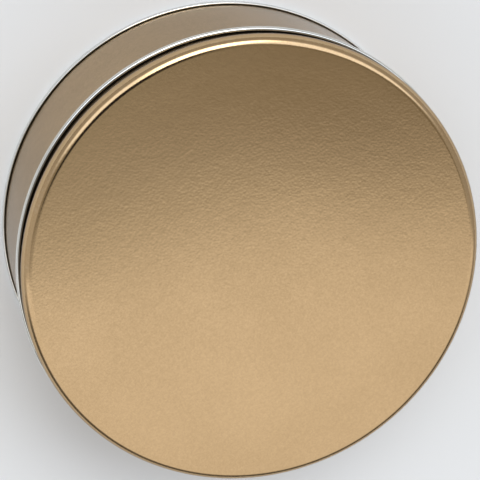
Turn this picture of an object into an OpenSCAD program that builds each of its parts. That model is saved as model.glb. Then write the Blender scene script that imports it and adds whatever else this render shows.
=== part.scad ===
// Round slip-lid cookie tin, 210 mm across and 76 mm high.
// A deep-drawn lid drops over a rolled body wall, and the base end is
// double-seamed onto the bottom of that wall. Millimetres, +Z up.
// The origin is at the centre of the ring that the tin stands on.

/* [Overall] */
// Overall height with the lid on
tin_h = 76; // [60:1:110]
// Outer radius over the lid's hem curl, the widest point of the tin
hem_r = 105; // [95:0.5:115]
// Sheet thickness of the lid and the body wall
sheet = 0.25; // [0.20:0.01:0.28]

/* [Lid] */
// Outside diameter of the hollow curl around the lid's hem
hem_curl_d = 2.45; // [2.0:0.05:2.8]
// Height of the lid from its hem to its flat top
lid_h = 15.9; // [13:0.1:24]
// Outside radius of the rounded shoulder between the flat top and the skirt
shoulder_r = 4.5; // [4.0:0.1:4.8]
// How far the shoulder stands out past the lower part of the skirt
shoulder_out = 1.3; // [1.0:0.1:1.4]

/* [Body] */
// Clearance all round between the body wall and the lid's skirt
slip_gap = 0.3; // [0.25:0.05:0.5]
// Outside diameter of the inward curl at the mouth of the body
mouth_curl_d = 2.0; // [1.6:0.1:2.0]
// Width of the folded side seam inside the body wall
side_seam_w = 4.0; // [3:0.5:6]

/* [Base] */
// Sheet thickness of the base end
base_sheet = 0.28; // [0.24:0.01:0.30]
// Height of the double seam around the bottom
seam_h = 3.0; // [2.8:0.1:3.4]
// Height of the base panel's underside above the surface it stands on
base_rise = 3.1; // [2.6:0.1:4]
// Height of the stiffening step pressed in the base panel
ring_rise = 0.7; // [0.4:0.1:0.9]
// Radius where the raised middle of the base panel starts
ring_r = 84; // [60:1:88]

/* [Hidden] */
$fn = 64;

// lid: the hem curl and the lower skirt
hem_tube = hem_curl_d / 2;
hem_cr = hem_r - hem_tube;
hem_cz = tin_h - lid_h + hem_tube;
skirt_in = hem_r - hem_curl_d;
skirt_out = skirt_in + sheet;
// lid: the centre of the shoulder's arc
crest_r = skirt_out + shoulder_out - shoulder_r;
crest_z = tin_h - shoulder_r;
// lid: the swage that brings the shoulder back in to the skirt
swage_r = 2.4;
swage_a = acos(1 - shoulder_out / (shoulder_r + swage_r));
swage_cr = skirt_out + swage_r;
swage_cz = crest_z - (shoulder_r + swage_r) * sin(swage_a);

// body wall
wall_out = skirt_in - slip_gap;
wall_in = wall_out - sheet;
mouth_tube = mouth_curl_d / 2;
mouth_cr = wall_out - mouth_tube;
// the mouth curl stays 0.3 under the inside of the lid's shoulder
mouth_cz = crest_z + sqrt(pow(shoulder_r - sheet - mouth_tube - 0.3, 2) - pow(mouth_cr - crest_r, 2));

// double seam, from the inside out
chuck_out = wall_in - 0.06;
chuck_in = chuck_out - base_sheet;
hook_in = wall_out + 0.12;
hook_out = hook_in + base_sheet;
flange_in = hook_out + 0.14;
flange_out = flange_in + sheet;
seam_in = flange_out + 0.14;
seam_out = seam_in + base_sheet;
seam_bend_in = 0.50;
seam_bend_out = 0.60;
seam_top_r = (seam_out - hook_in) / 2;
flange_bend = 0.45;
wall_foot = base_sheet + 0.20;
panel_bend = 1.1;

// points along an arc, about one every 10 degrees
function arc(c, r, a0, a1) =
    let (n = max(2, ceil(abs(a1 - a0) / 10)))
    [for (i = [0:n]) let (a = a0 + (a1 - a0) * i / n) [c[0] + r * cos(a), c[1] + r * sin(a)]];

// a band of sheet bent to a quarter or more of a circle, r is its outer radius
module bend(c, r, t, a0, a1) {
    n = ceil((a1 - a0) / 60);
    far = r * 1.6;
    translate(c) intersection() {
        difference() { circle(r = r); circle(r = r - t); }
        polygon(concat([[0, 0]], [for (i = [0:n]) far * [cos(a0 + (a1 - a0) * i / n), sin(a0 + (a1 - a0) * i / n)]]));
    }
}
// a straight band of sheet between two radii and two heights
module strip(r0, r1, z0, z1) {
    translate([r0, z0]) square([r1 - r0, z1 - z0]);
}

// one sheet from the middle of the flat top over the shoulder and down to the hem curl
module lid_section() {
    polygon(concat(
        // outside face
        [[0, tin_h]],
        arc([crest_r, crest_z], shoulder_r, 90, 0),
        arc([crest_r, crest_z], shoulder_r, -8, -swage_a),
        arc([swage_cr, swage_cz], swage_r, 180 - swage_a + 8, 180),
        arc([hem_cr, hem_cz], hem_tube - sheet, 180, 492),
        // inside face
        arc([hem_cr, hem_cz], hem_tube, 492, 360),
        arc([hem_cr, hem_cz], hem_tube, 351, 180),
        arc([swage_cr, swage_cz], swage_r + sheet, 180, 180 - swage_a),
        arc([crest_r, crest_z], shoulder_r - sheet, -swage_a + 8, 90),
        [[0, tin_h - sheet]]
    ));
}

module lid() {
    color([0.78, 0.62, 0.40])
    rotate_extrude($fn = 128) lid_section();
}

module body_section() {
    strip(wall_in, wall_out, wall_foot + flange_bend, mouth_cz);
    // inward curl at the mouth
    bend([mouth_cr, mouth_cz], mouth_tube, sheet, 0, 300);
    // foot folded out and up into the seam
    bend([wall_in + flange_bend, wall_foot + flange_bend], flange_bend, sheet, 180, 270);
    strip(wall_in + flange_bend, flange_out - flange_bend, wall_foot, wall_foot + sheet);
    bend([flange_out - flange_bend, wall_foot + flange_bend], flange_bend, sheet, 270, 360);
    strip(flange_in, flange_out, wall_foot + flange_bend, seam_h - base_sheet - 0.35);
}

module body_wall() {
    color([0.74, 0.60, 0.41]) {
        rotate_extrude($fn = 128) body_section();
        // folded side seam, pressed flat against the inside of the wall
        rotate([0, 0, 90]) intersection() {
            rotate_extrude($fn = 128)
                strip(wall_in - 2 * sheet, wall_in + sheet / 2, seam_h + 3, mouth_cz - mouth_tube - 1);
            translate([wall_in - 3, -side_seam_w / 2, 0])
                cube([6, side_seam_w, tin_h]);
        }
    }
}

module end_section() {
    // raised middle, stiffening step and outer panel
    strip(0, ring_r, base_rise + ring_rise, base_rise + ring_rise + base_sheet);
    polygon([[ring_r, base_rise + ring_rise], [ring_r + 2.4, base_rise],
             [ring_r + 2.4, base_rise + base_sheet], [ring_r, base_rise + ring_rise + base_sheet]]);
    strip(ring_r + 2.4, chuck_out - panel_bend - base_sheet, base_rise, base_rise + base_sheet);
    // bend from the panel to the chuck wall, and the chuck wall inside the body
    bend([chuck_out - panel_bend - base_sheet, base_rise - panel_bend], panel_bend + base_sheet, base_sheet, 0, 90);
    strip(chuck_in, chuck_out, seam_bend_in, base_rise - panel_bend);
    // seaming panel that the tin stands on
    bend([chuck_in + seam_bend_in, seam_bend_in], seam_bend_in, base_sheet, 180, 270);
    strip(chuck_in + seam_bend_in, seam_out - seam_bend_out, 0, base_sheet);
    bend([seam_out - seam_bend_out, seam_bend_out], seam_bend_out, base_sheet, 270, 360);
    // seaming wall, over the top and down as the cover hook
    strip(seam_in, seam_out, seam_bend_out, seam_h - seam_top_r);
    bend([hook_in + seam_top_r, seam_h - seam_top_r], seam_top_r, base_sheet, 0, 180);
    strip(hook_in, hook_out, wall_foot + sheet + 0.20, seam_h - seam_top_r);
}

module base_end() {
    color([0.80, 0.80, 0.78])
    rotate_extrude($fn = 128) end_section();
}

module seam_compound() {
    // sealing ring pressed between the base end and the foot of the wall
    color([0.35, 0.34, 0.33])
    rotate_extrude($fn = 128)
        strip(wall_in + flange_bend, flange_out - flange_bend, base_sheet, wall_foot);
}

lid();
body_wall();
base_end();
seam_compound();
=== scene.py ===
import math

import bmesh
import bpy
import numpy as np
from mathutils import Matrix, Vector


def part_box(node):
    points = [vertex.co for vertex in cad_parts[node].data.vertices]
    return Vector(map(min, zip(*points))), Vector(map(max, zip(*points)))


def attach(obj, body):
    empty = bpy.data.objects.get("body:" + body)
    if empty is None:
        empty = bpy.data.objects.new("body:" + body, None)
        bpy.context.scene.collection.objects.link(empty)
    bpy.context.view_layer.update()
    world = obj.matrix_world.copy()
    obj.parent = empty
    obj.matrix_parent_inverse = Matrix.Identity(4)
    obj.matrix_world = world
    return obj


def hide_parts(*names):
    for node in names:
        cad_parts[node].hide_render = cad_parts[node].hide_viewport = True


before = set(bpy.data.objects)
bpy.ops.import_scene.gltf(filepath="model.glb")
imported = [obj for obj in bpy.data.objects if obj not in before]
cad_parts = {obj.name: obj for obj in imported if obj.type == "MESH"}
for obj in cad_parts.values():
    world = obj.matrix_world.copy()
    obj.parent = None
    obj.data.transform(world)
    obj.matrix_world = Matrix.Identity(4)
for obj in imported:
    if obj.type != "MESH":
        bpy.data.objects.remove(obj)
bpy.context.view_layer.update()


lid_lo, lid_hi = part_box("lid")
wall_lo, wall_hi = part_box("body_wall")
base_lo, base_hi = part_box("base_end")

MM = 0.001
SEG = 360

# ---------------------------------------------------------------- the tin's own sizes, millimetres
TIN_H = lid_hi.z / MM
HEM_R = 105.0
SHEET = 0.25
CURL_D = 2.45
LID_H = 15.9
SHOULDER_R = 4.5
SHOULDER_OUT = 1.3
SLIP_GAP = 0.3
MOUTH_D = 2.0
SEAM_W = 4.0
BASE_SHEET = 0.28
SEAM_H = 3.0
BASE_RISE = 3.1
RING_RISE = 0.7
RING_R = 84.0

HEM_TUBE = CURL_D / 2
HEM_CR = HEM_R - HEM_TUBE
HEM_CZ = TIN_H - LID_H + HEM_TUBE
SKIRT_IN = HEM_R - CURL_D
SKIRT_OUT = SKIRT_IN + SHEET
CREST_R = SKIRT_OUT + SHOULDER_OUT - SHOULDER_R
CREST_Z = TIN_H - SHOULDER_R
SWAGE_R = 2.4
SWAGE_A = math.degrees(math.acos(1 - SHOULDER_OUT / (SHOULDER_R + SWAGE_R)))
SWAGE_CR = SKIRT_OUT + SWAGE_R
SWAGE_CZ = CREST_Z - (SHOULDER_R + SWAGE_R) * math.sin(math.radians(SWAGE_A))

WALL_OUT = SKIRT_IN - SLIP_GAP
WALL_IN = WALL_OUT - SHEET
MOUTH_TUBE = MOUTH_D / 2
MOUTH_CR = WALL_OUT - MOUTH_TUBE
MOUTH_CZ = CREST_Z + math.sqrt((SHOULDER_R - SHEET - MOUTH_TUBE - 0.3) ** 2 - (MOUTH_CR - CREST_R) ** 2)

CHUCK_OUT = WALL_IN - 0.06
CHUCK_IN = CHUCK_OUT - BASE_SHEET
HOOK_IN = WALL_OUT + 0.12
HOOK_OUT = HOOK_IN + BASE_SHEET
FLANGE_IN = HOOK_OUT + 0.14
FLANGE_OUT = FLANGE_IN + SHEET
SEAM_IN = FLANGE_OUT + 0.14
SEAM_OUT = SEAM_IN + BASE_SHEET
SEAM_BEND_IN = 0.50
SEAM_BEND_OUT = 0.60
SEAM_TOP_R = (SEAM_OUT - HOOK_IN) / 2
FLANGE_BEND = 0.45
WALL_FOOT = BASE_SHEET + 0.20
PANEL_BEND = 1.1


# ---------------------------------------------------------------- camera
def axes_for_view():
    """The camera that a perspective fit of the tin's three round edges gives."""
    t, a, dist = math.radians(22.414), math.radians(53.826), 9.7332
    ox, oy = -0.0962, -0.11485
    A = Vector((math.sin(t) * math.cos(a), math.sin(t) * math.sin(a), -math.cos(t)))
    C = Vector((ox, oy, dist))
    d = -C.normalized()
    h = (d - A * d.dot(A)).normalized()
    Y = -h
    Z = A
    X = Y.cross(Z)
    M = Matrix((X, Y, Z))
    loc = -(M @ C) * 0.105 + Vector((0, 0, -0.0005))
    right, up, back = M @ Vector((1, 0, 0)), M @ Vector((0, -1, 0)), M @ Vector((0, 0, -1))
    return loc, right, up, back


loc, right, up, back = axes_for_view()
cam_data = bpy.data.cameras.new("view_camera")
cam_data.sensor_width = 36.0
cam_data.lens = 2147.0 / 480.0 * 36.0
cam_data.clip_start = 0.05
cam_data.clip_end = 50.0
cam = bpy.data.objects.new("view_camera", cam_data)
m = Matrix((right, up, back)).transposed().to_4x4()
m.translation = loc
cam.matrix_world = m
bpy.context.scene.collection.objects.link(cam)
bpy.context.scene.camera = cam
bpy.context.scene.view_settings.view_transform = "Standard"
bpy.context.scene.view_settings.look = "None"


# ---------------------------------------------------------------- node helpers
class Sock:
    """A node output that can be used in arithmetic, so shader formulas stay readable."""

    def __init__(self, tree, socket):
        self.tree, self.socket = tree, socket

    def _op(self, kind, *others, clamp=False):
        n = self.tree.nodes.new("ShaderNodeMath")
        n.operation = kind
        n.use_clamp = clamp
        for i, v in enumerate((self,) + others):
            if isinstance(v, Sock):
                self.tree.links.new(v.socket, n.inputs[i])
            else:
                n.inputs[i].default_value = float(v)
        return Sock(self.tree, n.outputs[0])

    def __add__(self, o):
        return self._op("ADD", o)

    __radd__ = __add__

    def __sub__(self, o):
        return self._op("SUBTRACT", o)

    def __rsub__(self, o):
        return (self * -1.0) + o

    def __mul__(self, o):
        return self._op("MULTIPLY", o)

    __rmul__ = __mul__

    def __truediv__(self, o):
        return self._op("DIVIDE", o)

    def abs(self):
        return self._op("ABSOLUTE")

    def max(self, o):
        return self._op("MAXIMUM", o)

    def min(self, o):
        return self._op("MINIMUM", o)

    def sqrt(self):
        return self._op("SQRT")

    def power(self, o):
        return self._op("POWER", o)

    def acos_deg(self):
        return self._op("ARCCOSINE") * (180 / math.pi)

    def atan2(self, o):
        return self._op("ARCTAN2", o)

    def ramp(self, a, b, lo=0.0, hi=1.0, smooth=True):
        """lo below a, hi above b, smooth between."""
        n = self.tree.nodes.new("ShaderNodeMapRange")
        n.interpolation_type = "SMOOTHSTEP" if smooth else "LINEAR"
        n.clamp = True
        self.tree.links.new(self.socket, n.inputs["Value"])
        for k, v in (("From Min", a), ("From Max", b), ("To Min", lo), ("To Max", hi)):
            n.inputs[k].default_value = v
        return Sock(self.tree, n.outputs["Result"])


def split(tree, vector):
    n = tree.nodes.new("ShaderNodeSeparateXYZ")
    tree.links.new(vector, n.inputs[0])
    return [Sock(tree, n.outputs[i]) for i in range(3)]


def join(tree, x, y, z):
    n = tree.nodes.new("ShaderNodeCombineXYZ")
    for i, v in enumerate((x, y, z)):
        if isinstance(v, Sock):
            tree.links.new(v.socket, n.inputs[i])
        else:
            n.inputs[i].default_value = float(v)
    return n.outputs[0]


def mix_colour(tree, factor, a, b):
    n = tree.nodes.new("ShaderNodeMix")
    n.data_type = "RGBA"
    n.clamp_factor = True
    for s, v in ((n.inputs["Factor"], factor), (n.inputs[6], a), (n.inputs[7], b)):
        if isinstance(v, Sock):
            tree.links.new(v.socket, s)
        elif isinstance(v, bpy.types.NodeSocket):
            tree.links.new(v, s)
        elif isinstance(v, (tuple, list)):
            s.default_value = (*v, 1.0)
        else:
            s.default_value = float(v)
    return n.outputs[2]


def noise(tree, vector, scale, detail=2.0, rough=0.5, distortion=0.0, offset=None, stretch=None):
    if offset is not None or stretch is not None:
        mp = tree.nodes.new("ShaderNodeMapping")
        mp.inputs["Location"].default_value = offset or (0, 0, 0)
        mp.inputs["Scale"].default_value = stretch or (1, 1, 1)
        tree.links.new(vector, mp.inputs["Vector"])
        vector = mp.outputs[0]
    n = tree.nodes.new("ShaderNodeTexNoise")
    n.inputs["Scale"].default_value = scale
    n.inputs["Detail"].default_value = detail
    n.inputs["Roughness"].default_value = rough
    n.inputs["Distortion"].default_value = distortion
    tree.links.new(vector, n.inputs["Vector"])
    return Sock(tree, n.outputs["Fac"])


def voronoi(tree, vector, scale, smooth=0.6):
    n = tree.nodes.new("ShaderNodeTexVoronoi")
    n.feature = "SMOOTH_F1"
    n.inputs["Scale"].default_value = scale
    n.inputs["Smoothness"].default_value = smooth
    tree.links.new(vector, n.inputs["Vector"])
    return Sock(tree, n.outputs["Distance"])


def bump(tree, height, distance, strength=1.0, normal=None):
    n = tree.nodes.new("ShaderNodeBump")
    n.inputs["Strength"].default_value = strength
    n.inputs["Distance"].default_value = distance
    tree.links.new(height.socket, n.inputs["Height"])
    if normal is not None:
        tree.links.new(normal, n.inputs["Normal"])
    return n.outputs[0]


def material(name):
    mat = bpy.data.materials.new(name)
    mat.use_nodes = True
    tree = mat.node_tree
    tree.nodes.clear()
    out = tree.nodes.new("ShaderNodeOutputMaterial")
    p = tree.nodes.new("ShaderNodeBsdfPrincipled")
    tree.links.new(p.outputs[0], out.inputs[0])
    tc = tree.nodes.new("ShaderNodeTexCoord")
    return mat, tree, p, tc.outputs["Object"]


# ---------------------------------------------------------------- world: one soft dome
SKY_OPEN = (1.24, 1.245, 1.26)
SKY_FALL = (1.06, 1.05, 1.03)
SKY_DIM = (0.355, 0.34, 0.295)
SKY_GLOW = (0.43, 0.43, 0.40)
SKY_LEFT = (0.66, 0.66, 0.66)
SKY_BLACK = (0.012, 0.011, 0.010)
SKY_SIDE = (0.50, 0.50, 0.50)
SKY_EDGE = (0.16, 0.155, 0.14)
SKY_BOX = (5.3, 5.4, 5.4)
SKY_BOX_WEAK = (1.75, 1.85, 2.05)

world = bpy.data.worlds.new("soft_dome")
bpy.context.scene.world = world
world.use_nodes = True
wt = world.node_tree
wt.nodes.clear()
w_out = wt.nodes.new("ShaderNodeOutputWorld")
w_bg = wt.nodes.new("ShaderNodeBackground")
wt.links.new(w_bg.outputs[0], w_out.inputs[0])
w_tc = wt.nodes.new("ShaderNodeTexCoord")
dx, dy, dz = split(wt, w_tc.outputs["Generated"])
s = dx * 0.558 + dy * 0.830
t = dx * -0.785 + dy * 0.619
zen = dz.acos_deg()
azim = dy.atan2(dx) * (180 / math.pi)
# how far round from the middle of the near side's soft box, in degrees, -180 to 180
turn = (azim + 130.0)
turn = turn - (turn.ramp(179.9, 180.1, 0, 360))
# the side light all round, the open sky on the far side, and the unlit patch overhead
s2 = s + (0.236 - t).max(0.0).min(0.11) * -0.34
open_ = s2.ramp(0.262, 0.314, 0, 1) * zen.ramp(58, 72, 1, 0)
fall = (s.ramp(0.355, 0.42, 0, 1) * 0.8 + t.ramp(0.22, 0.34, 0, 1) * 0.55).min(1.0)
left = turn.ramp(70, 95, 0, 1) * turn.ramp(120, 145, 1, 0)
sky = mix_colour(wt, open_, mix_colour(wt, left, SKY_SIDE, SKY_LEFT), mix_colour(wt, fall, SKY_OPEN, SKY_FALL))
over = s2.ramp(0.26, 0.32, 1, 0) * zen.ramp(30, 36, 1, 0)
dim = mix_colour(wt, t.ramp(0.225, 0.30, 0, 1), SKY_DIM, (0.275, 0.255, 0.21))
dim = mix_colour(wt, t.ramp(0.165, 0.225, 1, 0) * s.ramp(0.18, 0.22, 0, 1), dim, SKY_GLOW)
dim = mix_colour(wt, t.ramp(-0.02, 0.10, 1, 0) * s.ramp(0.16, 0.24, 0, 1), dim, (0.50, 0.49, 0.47))
sky = mix_colour(wt, over, sky, dim)
# its darkest part, straight over the tin
black = s.ramp(0.185, 0.228, 1, 0) * t.ramp(0.10, 0.19, 1, 0) * t.ramp(-0.42, -0.12, 0, 1) * zen.ramp(15, 21, 1, 0)
sky = mix_colour(wt, black, sky, SKY_BLACK)
edge = zen.ramp(56, 70, 0, 1) * s.ramp(0.30, 0.60, 0, 1)
sky = mix_colour(wt, edge, sky, SKY_EDGE)
# one long soft box on the near side, weaker at its left end
box = zen.ramp(17, 22, 0, 1) * zen.ramp(42, 58, 1, 0) * turn.abs().ramp(68, 84, 1, 0)
sky = mix_colour(wt, box, sky, mix_colour(wt, turn.ramp(18, 36, 0, 1).max(turn.ramp(-26, -10, 1, 0)), SKY_BOX, SKY_BOX_WEAK))
wt.links.new(sky, w_bg.inputs["Color"])
w_bg.inputs["Strength"].default_value = 1.0


# ---------------------------------------------------------------- materials
def radius_of(tree, obj):
    x, y, z = split(tree, obj)
    return x, y, z, (x * x + y * y).sqrt()


def in_band(r, z, r0, r1, z0, z1, soft=0.0003):
    return r.ramp(r0 - soft, r0, 0, 1) * r.ramp(r1, r1 + soft, 1, 0) * z.ramp(z0 - soft, z0, 0, 1) * z.ramp(z1, z1 + soft, 1, 0)


def paint_crease_shade(tree, obj, r, z, colour, rough, bands):
    """Painted shade: a near-black colour and a rougher finish laid into the narrow folds and crevices, where shade
    falls.
    """
    painted_shade = None
    for r0, r1, z0, z1, amount in bands:
        b = in_band(r, z, r0, r1, z0, z1, 0.00018) * amount
        painted_shade = b if painted_shade is None else painted_shade.max(b)
    painted_shade = painted_shade * noise(tree, obj, 300, 3, 0.6, offset=(2.0, 8.0, 1.0)).ramp(0.25, 0.45, 0.85, 1.0)
    return mix_colour(tree, painted_shade, colour, (0.020, 0.016, 0.010)), rough + painted_shade * 0.35


def gold_lacquer(name, base, dark, rough_lo, rough_hi, stipple, wear_bands=(), crease_shade_bands=()):
    """Clear gold lacquer over finely stippled tinplate."""
    mat, tree, p, obj = material(name)
    x, y, z, r = radius_of(tree, obj)
    cloud = noise(tree, obj, 22, 3, 0.55)
    fine = noise(tree, obj, 420, 2, 0.5, offset=(3.1, 0.7, 1.9))
    speck = noise(tree, obj, 1150, 2, 0.6, offset=(0.4, 5.1, 2.2))
    f = cloud.ramp(0.32, 0.68) * 0.28 + fine.ramp(0.30, 0.70) * 0.20 + speck.ramp(0.32, 0.68, smooth=False) * 0.52
    colour = mix_colour(tree, f, dark, base)
    # rubbed edges: the lacquer is thinner and a little of the plate shows
    wear = None
    for r0, r1, z0, z1, amount in wear_bands:
        band = in_band(r, z, r0, r1, z0, z1) * amount
        wear = band if wear is None else wear.max(band)
    rough = (cloud * 0.35 + speck * 0.65).ramp(0.35, 0.65, rough_hi, rough_lo, smooth=False)
    if wear is not None:
        patch = noise(tree, obj, 260, 4, 0.6, offset=(7.0, 1.0, 4.0)).ramp(0.50, 0.72)
        worn = wear * patch
        colour = mix_colour(tree, worn, colour, (0.70, 0.66, 0.58))
        rough = rough + worn * 0.06
    # painted shade: the listed crease bands darken to near black and turn rougher
    if crease_shade_bands:
        colour, rough = paint_crease_shade(tree, obj, r, z, colour, rough, crease_shade_bands)
    tree.links.new(colour, p.inputs["Base Color"])
    tree.links.new(rough.socket, p.inputs["Roughness"])
    p.inputs["Metallic"].default_value = 1.0
    p.inputs["Specular Tint"].default_value = (0.50, 0.47, 0.44, 1.0)
    p.inputs["Coat Weight"].default_value = 0.45
    p.inputs["Coat Roughness"].default_value = 0.18
    p.inputs["Coat IOR"].default_value = 1.5
    cells = voronoi(tree, obj, 900, 0.7)
    grains = noise(tree, obj, 780, 2, 0.5, offset=(1.3, 2.7, 0.2))
    height = cells * 0.55 + grains * 0.45
    nrm = bump(tree, height, stipple)
    orange = noise(tree, obj, 150, 2, 0.5, offset=(9.1, 4.4, 3.0))
    nrm = bump(tree, orange, stipple * 1.1, normal=nrm)
    tree.links.new(nrm, p.inputs["Normal"])
    return mat


def tinplate(name, base, dark, rough_lo, rough_hi, grain="around", scratch=0.000004, crease_shade_bands=()):
    """Bare bright tinplate with its rolling grain."""
    mat, tree, p, obj = material(name)
    x, y, z, r = radius_of(tree, obj)
    if grain == "around":
        around = y.atan2(x) * 0.1
        vec = join(tree, around * 0.03, z, r)
    else:
        vec = join(tree, x * 0.03, y, z)
    lines = noise(tree, vec, 5200, 3, 0.65)
    broad = noise(tree, vec, 700, 2, 0.5, offset=(2, 3, 1))
    cloud = noise(tree, obj, 60, 3, 0.6)
    f = lines.ramp(0.3, 0.7) * 0.4 + broad.ramp(0.3, 0.7) * 0.25 + cloud.ramp(0.3, 0.7) * 0.35
    colour = mix_colour(tree, f, dark, base)
    rough = (lines * 0.4 + cloud * 0.6).ramp(0.35, 0.65, rough_lo, rough_hi, smooth=False)
    # painted shade: the listed crease bands darken to near black and turn rougher
    if crease_shade_bands:
        colour, rough = paint_crease_shade(tree, obj, r, z, colour, rough, crease_shade_bands)
    tree.links.new(colour, p.inputs["Base Color"])
    tree.links.new(rough.socket, p.inputs["Roughness"])
    p.inputs["Metallic"].default_value = 1.0
    nrm = bump(tree, lines, scratch)
    dents = noise(tree, obj, 90, 2, 0.5, offset=(5, 5, 2))
    nrm = bump(tree, dents, 0.00002, normal=nrm)
    tree.links.new(nrm, p.inputs["Normal"])
    return mat


GOLD = (0.575, 0.396, 0.212)
GOLD_DARK = (0.495, 0.335, 0.172)
lid_gold = gold_lacquer(
    "gold_lacquer_lid", GOLD, GOLD_DARK, 0.12, 0.16, 0.000015,
    wear_bands=[(0.1014, 0.1034, 0.0738, 0.0758, 0.10)],
    # painted shade: the crevice above the hem curl and the skirt under the shoulder are darkened
    crease_shade_bands=[(0.1020, 0.10325, 0.0612, 0.0634, 0.97), (0.1026, 0.1035, 0.0652, 0.0682, 0.74)])
wall_gold = gold_lacquer(
    "gold_lacquer_wall", (0.65, 0.461, 0.253), (0.43, 0.298, 0.152), 0.20, 0.27, 0.000024,
    wear_bands=[(0.1005, 0.1024, 0.0740, 0.0752, 0.4)],
    # painted shade: a dark line at the foot of the wall, just above the base seam
    crease_shade_bands=[(0.1015, 0.1025, 0.0024, 0.0036, 0.97)])
plate_in = tinplate("tinplate_inside", (0.74, 0.74, 0.71), (0.68, 0.68, 0.65), 0.22, 0.32)
plate_curl = tinplate(
    "tinplate_curl", (0.78, 0.78, 0.74), (0.70, 0.70, 0.66), 0.13, 0.20,
    # painted shade: the upper inner side of the hem curl, next to the skirt, is darkened
    crease_shade_bands=[(0.1024, 0.10345, 0.0612, 0.0632, 0.95), (0.10372, 0.10400, 0.0622, 0.0630, 0.80)])
plate_base = tinplate("tinplate_base", (0.76, 0.76, 0.73), (0.70, 0.70, 0.67), 0.20, 0.30, grain="across")
plate_seam = tinplate(
    "tinplate_seam", (0.78, 0.78, 0.75), (0.71, 0.71, 0.68), 0.14, 0.22,
    # painted shade: the gap between the wall and the double seam is darkened
    crease_shade_bands=[(0.1022, 0.10262, 0.0010, 0.0030, 0.95)])


def rubber():
    mat, tree, p, obj = material("sealing_compound")
    n1 = noise(tree, obj, 500, 3, 0.6)
    tree.links.new(mix_colour(tree, n1, (0.09, 0.09, 0.085), (0.15, 0.148, 0.14)), p.inputs["Base Color"])
    tree.links.new(n1.ramp(0.3, 0.7, 0.62, 0.8).socket, p.inputs["Roughness"])
    tree.links.new(bump(tree, n1, 0.00005), p.inputs["Normal"])
    return mat


def floor_material():
    mat, tree, p, obj = material("pale_floor")
    n1 = noise(tree, obj, 6, 3, 0.5)
    tree.links.new(mix_colour(tree, n1, (0.765, 0.77, 0.775), (0.795, 0.80, 0.805)), p.inputs["Base Color"])
    p.inputs["Roughness"].default_value = 0.9
    p.inputs["Specular IOR Level"].default_value = 0.2
    return mat


# ---------------------------------------------------------------- lathe meshes
def arc(cx, cz, r, a0, a1, step=5.0):
    n = max(2, int(math.ceil(abs(a1 - a0) / step)))
    return [(cx + r * math.cos(math.radians(a0 + (a1 - a0) * i / n)), cz + r * math.sin(math.radians(a0 + (a1 - a0) * i / n))) for i in range(n + 1)]


class Section:
    """A closed outline in the (radius, height) plane, in millimetres, with a material for each run."""

    def __init__(self):
        self.points, self.mats = [], []

    def add(self, pts, mat, join_mat=None):
        """mat is for the edges inside pts, join_mat for the edge that leads to its first point."""
        for i, p in enumerate(pts):
            if self.points and math.dist(self.points[-1], p) < 1e-6:
                continue
            if self.points:
                self.mats.append(mat if i or join_mat is None else join_mat)
            self.points.append((float(p[0]), float(p[1])))
        return self

    def close(self, mat):
        if math.dist(self.points[0], self.points[-1]) < 1e-6:
            self.points.pop()
        else:
            self.mats.append(mat)
        return self

    def dense(self, support=0.12, longest=6.0):
        """Rings beside the ends of long flats keep the shading of the bends true."""
        pts, mats = [], []
        n = len(self.points)
        for i in range(n):
            a, b = self.points[i], self.points[(i + 1) % n]
            pts.append(a)
            mats.append(self.mats[i])
            if a[0] < 1e-9 and b[0] < 1e-9:
                continue
            d = math.dist(a, b)
            if d > 4 * support:
                stops = [support / d]
                k = max(1, int(math.ceil((d - 2 * support) / longest)))
                stops += [(support + (d - 2 * support) * j / k) / d for j in range(1, k)]
                stops.append(1 - support / d)
                for f in stops:
                    pts.append((a[0] + (b[0] - a[0]) * f, a[1] + (b[1] - a[1]) * f))
                    mats.append(self.mats[i])
        self.points, self.mats = pts, mats
        return self


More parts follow.
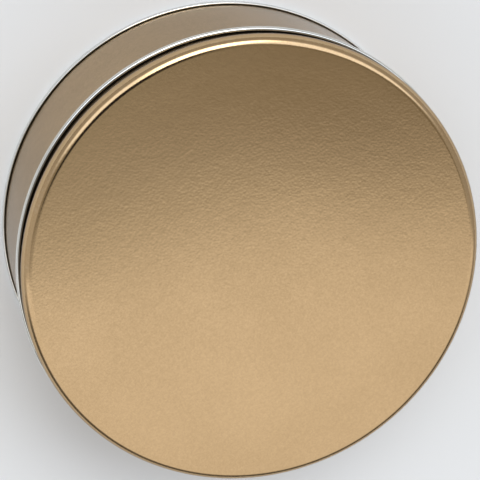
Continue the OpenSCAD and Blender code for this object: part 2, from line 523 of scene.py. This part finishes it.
def lathe(name, section, materials, angles=None, shape=None):
    """Revolves a closed outline. shape(r, z, angle) may move a point by small amounts."""
    if angles is None:
        angles = [2 * math.pi * k / SEG for k in range(SEG)]
    pts, mats = section.points, section.mats
    n, m_ = len(pts), len(angles)
    verts, index = [], []
    for (r, z) in pts:
        if r < 1e-9:
            index.append([len(verts)] * m_)
            zz = shape(0.0, z, 0.0)[1] if shape else z
            verts.append((0.0, 0.0, zz * MM))
            continue
        row = []
        for a in angles:
            rr, zz = shape(r, z, a) if shape else (r, z)
            row.append(len(verts))
            verts.append((rr * math.cos(a) * MM, rr * math.sin(a) * MM, zz * MM))
        index.append(row)
    area = sum(pts[i][0] * pts[(i + 1) % n][1] - pts[(i + 1) % n][0] * pts[i][1] for i in range(n))
    faces, fm = [], []
    for i in range(n):
        j = (i + 1) % n
        if pts[i][0] < 1e-9 and pts[j][0] < 1e-9:
            continue
        for k in range(m_):
            l = (k + 1) % m_
            quad = [index[i][k], index[j][k], index[j][l], index[i][l]]
            quad = [q for q_i, q in enumerate(quad) if q != quad[q_i - 1]]
            if area < 0:
                quad.reverse()
            faces.append(quad)
            fm.append(mats[i])
    me = bpy.data.meshes.new(name)
    me.from_pydata(verts, [], faces)
    me.update()
    for mt in materials:
        me.materials.append(mt)
    me.polygons.foreach_set("material_index", np.array(fm, np.int32))
    me.polygons.foreach_set("use_smooth", np.ones(len(faces), bool))
    # cut edges of the sheet stay crisp
    sharp_rows = set()
    for i in range(n):
        if pts[i][0] < 1e-9:
            continue
        a, b, c_ = pts[i - 1], pts[i], pts[(i + 1) % n]
        v0, v1 = (b[0] - a[0], b[1] - a[1]), (c_[0] - b[0], c_[1] - b[1])
        turn = math.degrees(abs(math.atan2(v0[0] * v1[1] - v0[1] * v1[0], v0[0] * v1[0] + v0[1] * v1[1])))
        if turn > 35:
            sharp_rows.add(i)
    ring = {}
    for i in sharp_rows:
        for k in range(m_):
            ring[index[i][k]] = i
    sharp = np.zeros(len(me.edges), bool)
    ev = np.empty(len(me.edges) * 2, np.int32)
    me.edges.foreach_get("vertices", ev)
    for e, (a, b) in enumerate(ev.reshape(-1, 2)):
        if a in ring and ring.get(b) == ring[a]:
            sharp[e] = True
    attr = me.attributes.new("sharp_edge", "BOOLEAN", "EDGE")
    attr.data.foreach_set("value", sharp)
    me.validate()
    me.update()
    ob = bpy.data.objects.new(name, me)
    bpy.context.scene.collection.objects.link(ob)
    return ob


def undulation(r, a):
    """The slight waviness of a pressed flat panel, in millimetres."""
    x, y = r * math.cos(a), r * math.sin(a)
    f = (math.sin(x / 17.0 + 0.4) * math.cos(y / 21.0 - 0.9) + 0.7 * math.sin((x + y) / 26.0 + 1.7)
         + 0.5 * math.cos((x - 0.6 * y) / 13.0 + 0.3))
    return f


# the lid: one drawn sheet, gold outside and bare inside, its hem rolled outward
g, tp, cu = 0, 1, 2
lid_sec = Section()
lid_sec.add([(0, TIN_H)], g)
lid_sec.add(arc(CREST_R, CREST_Z, SHOULDER_R, 90, 0, 3), g)
lid_sec.add(arc(CREST_R, CREST_Z, SHOULDER_R, 0, -SWAGE_A, 3), g)
lid_sec.add(arc(SWAGE_CR, SWAGE_CZ, SWAGE_R, 180 - SWAGE_A, 180, 4), g)
lid_sec.add(arc(HEM_CR, HEM_CZ, HEM_TUBE - SHEET, 180, 492, 8), g)
lid_sec.add(arc(HEM_CR, HEM_CZ, HEM_TUBE, 492, 180, 6), cu, join_mat=cu)
lid_sec.add(arc(SWAGE_CR, SWAGE_CZ, SWAGE_R + SHEET, 180, 180 - SWAGE_A, 6), tp)
lid_sec.add(arc(CREST_R, CREST_Z, SHOULDER_R - SHEET, -SWAGE_A, 90, 5), tp)
lid_sec.add([(0, TIN_H - SHEET)], tp)
lid_sec.close(tp)
lid_sec.dense(0.12, 5.0)


def lid_shape(r, z, a):
    if r < CREST_R and z > 70:
        fade = min(1.0, max(0.0, (CREST_R - 0.6 - r) / 14.0))
        fade = fade * fade * (3 - 2 * fade)
        z = z + 0.014 * fade * (undulation(r, a) - 2.2)
    return r, z


lid = lathe("lid_shell", lid_sec, [lid_gold, plate_in, plate_curl], shape=lid_shape)
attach(lid, "tin_lid")
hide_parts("lid")

# the body wall: gold outside and over the mouth curl, bare inside
body_sec = Section()
body_sec.add([(WALL_OUT, WALL_FOOT + FLANGE_BEND + 0.3)], g)
body_sec.add([(WALL_OUT, MOUTH_CZ)], g)
body_sec.add(arc(MOUTH_CR, MOUTH_CZ, MOUTH_TUBE, 0, 300, 7), g)
body_sec.add(arc(MOUTH_CR, MOUTH_CZ, MOUTH_TUBE - SHEET, 300, 0, 8), tp, join_mat=tp)
body_sec.add([(WALL_IN, WALL_FOOT + FLANGE_BEND)], tp)
body_sec.add(arc(WALL_IN + FLANGE_BEND, WALL_FOOT + FLANGE_BEND, FLANGE_BEND, 180, 270, 10), tp)
body_sec.add(arc(FLANGE_OUT - FLANGE_BEND, WALL_FOOT + FLANGE_BEND, FLANGE_BEND, 270, 360, 10), tp)
body_sec.add([(FLANGE_OUT, SEAM_H - BASE_SHEET - 0.35), (FLANGE_IN, SEAM_H - BASE_SHEET - 0.35)], tp)
body_sec.add(arc(FLANGE_OUT - FLANGE_BEND, WALL_FOOT + FLANGE_BEND, FLANGE_BEND - SHEET, 360, 270, 10), g, join_mat=g)
body_sec.add(arc(WALL_IN + FLANGE_BEND, WALL_FOOT + FLANGE_BEND, FLANGE_BEND - SHEET, 270, 180, 10), g)
body_sec.close(g)
body_sec.dense(0.15, 6.0)

extra = [90 + d for d in (-1.6, -1.15, -0.75, -0.5, -0.30, -0.20, -0.10, 0.10, 0.20, 0.30, 0.5, 0.75, 1.15, 1.6)]
wall_angles = sorted(set([float(k) for k in range(360)] + extra))
wall_angles = [math.radians(a) for a in wall_angles]


def wall_shape(r, z, a):
    """A hairline groove where the folded side seam closes."""
    off = math.degrees(a) - 90
    if r > WALL_IN - 0.01 and 3.2 < z < MOUTH_CZ + 0.01 and abs(off) < 3.5:
        lane = abs(off) * math.radians(1) * WALL_OUT
        ends = min(1.0, max(0.0, (z - 3.2) / 1.5), 1.0) * min(1.0, max(0.0, (MOUTH_CZ - z) / 1.5))
        if r > WALL_OUT - 0.01:
            groove = 0.10 * math.exp(-(lane / 0.22) ** 2)
            r = r - groove * ends
    return r, z


body = lathe("body_shell", body_sec, [wall_gold, plate_in], angles=wall_angles, shape=wall_shape)
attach(body, "tin_body")
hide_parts("body_wall")


# the folded side seam inside the wall: four layers pressed flat, with rolled long edges
def side_seam():
    half, thick = SEAM_W / 2, 2 * SHEET
    z0, z1 = SEAM_H + 3, MOUTH_CZ - MOUTH_TUBE - 1
    prof = []
    rnd = 0.22
    outer_r, inner_r = WALL_IN + 0.08, WALL_IN - thick
    prof.append((-half, outer_r))
    prof.append((-half, inner_r + rnd))
    for a in (30, 60, 90):
        prof.append((-half + rnd - rnd * math.cos(math.radians(a)), inner_r + rnd - rnd * math.sin(math.radians(a))))
    for k in range(1, 8):
        w_ = -half + rnd + (2 * half - 2 * rnd) * k / 8
        dip = 0.0
        prof.append((w_, inner_r + dip + (0.05 if k == 4 else 0.0)))
    for a in (90, 60, 30, 0):
        prof.append((half - rnd + rnd * math.cos(math.radians(a)), inner_r + rnd - rnd * math.sin(math.radians(a))))
    prof.append((half, outer_r))
    zs = [z0, z0 + 0.15, z0 + 0.5] + list(np.linspace(z0 + 4, z1 - 4, 14)) + [z1 - 0.5, z1 - 0.15, z1]
    bm = bmesh.new()
    rows = []
    for i, z in enumerate(zs):
        inset = 0.12 if i in (0, len(zs) - 1) else 0.0
        row = []
        for w_, r in prof:
            ww = w_ * (1 - inset / half)
            rr = r + (inset if r < WALL_IN else 0)
            ang = math.radians(90) + ww / WALL_IN
            row.append(bm.verts.new((rr * math.cos(ang) * MM, rr * math.sin(ang) * MM, z * MM)))
        rows.append(row)
    for a, b in zip(rows, rows[1:]):
        for k in range(len(prof)):
            l = (k + 1) % len(prof)
            bm.faces.new((a[k], a[l], b[l], b[k]))
    bm.faces.new(list(reversed(rows[0])))
    bm.faces.new(rows[-1])
    bmesh.ops.recalc_face_normals(bm, faces=bm.faces)
    for f in bm.faces:
        f.smooth = True
        f.material_index = 0
    for e in bm.edges:
        if len(e.link_faces) == 2 and e.calc_face_angle() > math.radians(50):
            e.smooth = False
    me = bpy.data.meshes.new("side_seam_fold")
    bm.to_mesh(me)
    bm.free()
    me.materials.append(plate_seam)
    ob = bpy.data.objects.new("side_seam_fold", me)
    bpy.context.scene.collection.objects.link(ob)
    return ob


seam = side_seam()
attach(seam, "tin_body")

# the base end: raised middle, stiffening step, countersink and double seam
b_, r_ = 0, 1
base_sec = Section()
z_mid, z_out = BASE_RISE + RING_RISE, BASE_RISE
kc_r, kc_z = CHUCK_OUT - PANEL_BEND - BASE_SHEET, BASE_RISE - PANEL_BEND


def step_pts(z_hi, z_lo, up_):
    """The stiffening step as two soft bends instead of two creases."""
    out = []
    n = 14
    for i in range(n + 1):
        f = i / n
        out.append((RING_R - 0.3 + 3.0 * f, z_hi + (z_lo - z_hi) * (f * f * (3 - 2 * f)) + up_))
    return out


base_sec.add([(0, z_mid + BASE_SHEET)], b_)
base_sec.add(step_pts(z_mid, z_out, BASE_SHEET), b_)
base_sec.add(arc(kc_r, kc_z, PANEL_BEND + BASE_SHEET, 90, 0, 8), b_)
base_sec.add(arc(CHUCK_IN + SEAM_BEND_IN, SEAM_BEND_IN, SEAM_BEND_IN - BASE_SHEET, 180, 270, 12), b_)
base_sec.add(arc(SEAM_OUT - SEAM_BEND_OUT, SEAM_BEND_OUT, SEAM_BEND_OUT - BASE_SHEET, 270, 360, 12), b_)
base_sec.add(arc(HOOK_IN + SEAM_TOP_R, SEAM_H - SEAM_TOP_R, SEAM_TOP_R - BASE_SHEET, 0, 180, 15), b_)
base_sec.add([(HOOK_OUT, WALL_FOOT + SHEET + 0.20), (HOOK_IN, WALL_FOOT + SHEET + 0.20)], b_)
base_sec.add(arc(HOOK_IN + SEAM_TOP_R, SEAM_H - SEAM_TOP_R, SEAM_TOP_R, 180, 0, 8), r_, join_mat=r_)
base_sec.add(arc(SEAM_OUT - SEAM_BEND_OUT, SEAM_BEND_OUT, SEAM_BEND_OUT, 360, 270, 8), r_)
base_sec.add(arc(CHUCK_IN + SEAM_BEND_IN, SEAM_BEND_IN, SEAM_BEND_IN, 270, 180, 8), r_)
base_sec.add(arc(kc_r, kc_z, PANEL_BEND, 0, 90, 8), b_)
base_sec.add(list(reversed(step_pts(z_mid, z_out, 0.0))), b_)
base_sec.add([(0, z_mid)], b_)
base_sec.close(b_)
# the inner and outer faces of the chuck wall
base_sec.dense(0.12, 5.0)


def base_shape(r, z, a):
    if r < RING_R - 1:
        fade = min(1.0, max(0.0, (RING_R - 1.5 - r) / 14.0))
        fade = fade * fade * (3 - 2 * fade)
        z = z + 0.02 * fade * undulation(r + 31, a)
    return r, z


base = lathe("base_shell", base_sec, [plate_base, plate_seam], shape=base_shape)
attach(base, "tin_body")
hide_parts("base_end")

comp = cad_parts["seam_compound"]
rub = rubber()
comp.data.materials.clear()
comp.data.materials.append(rub)


# ---------------------------------------------------------------- floor
def floor():
    bm = bmesh.new()
    n, half = 24, 3.0
    grid = [[bm.verts.new((-half + 2 * half * i / n, -half + 2 * half * j / n, 0.0)) for j in range(n + 1)] for i in range(n + 1)]
    for i in range(n):
        for j in range(n):
            bm.faces.new((grid[i][j], grid[i + 1][j], grid[i + 1][j + 1], grid[i][j + 1]))
    me = bpy.data.meshes.new("floor")
    bm.to_mesh(me)
    bm.free()
    me.materials.append(floor_material())
    ob = bpy.data.objects.new("floor", me)
    bpy.context.scene.collection.objects.link(ob)
    return ob


floor()
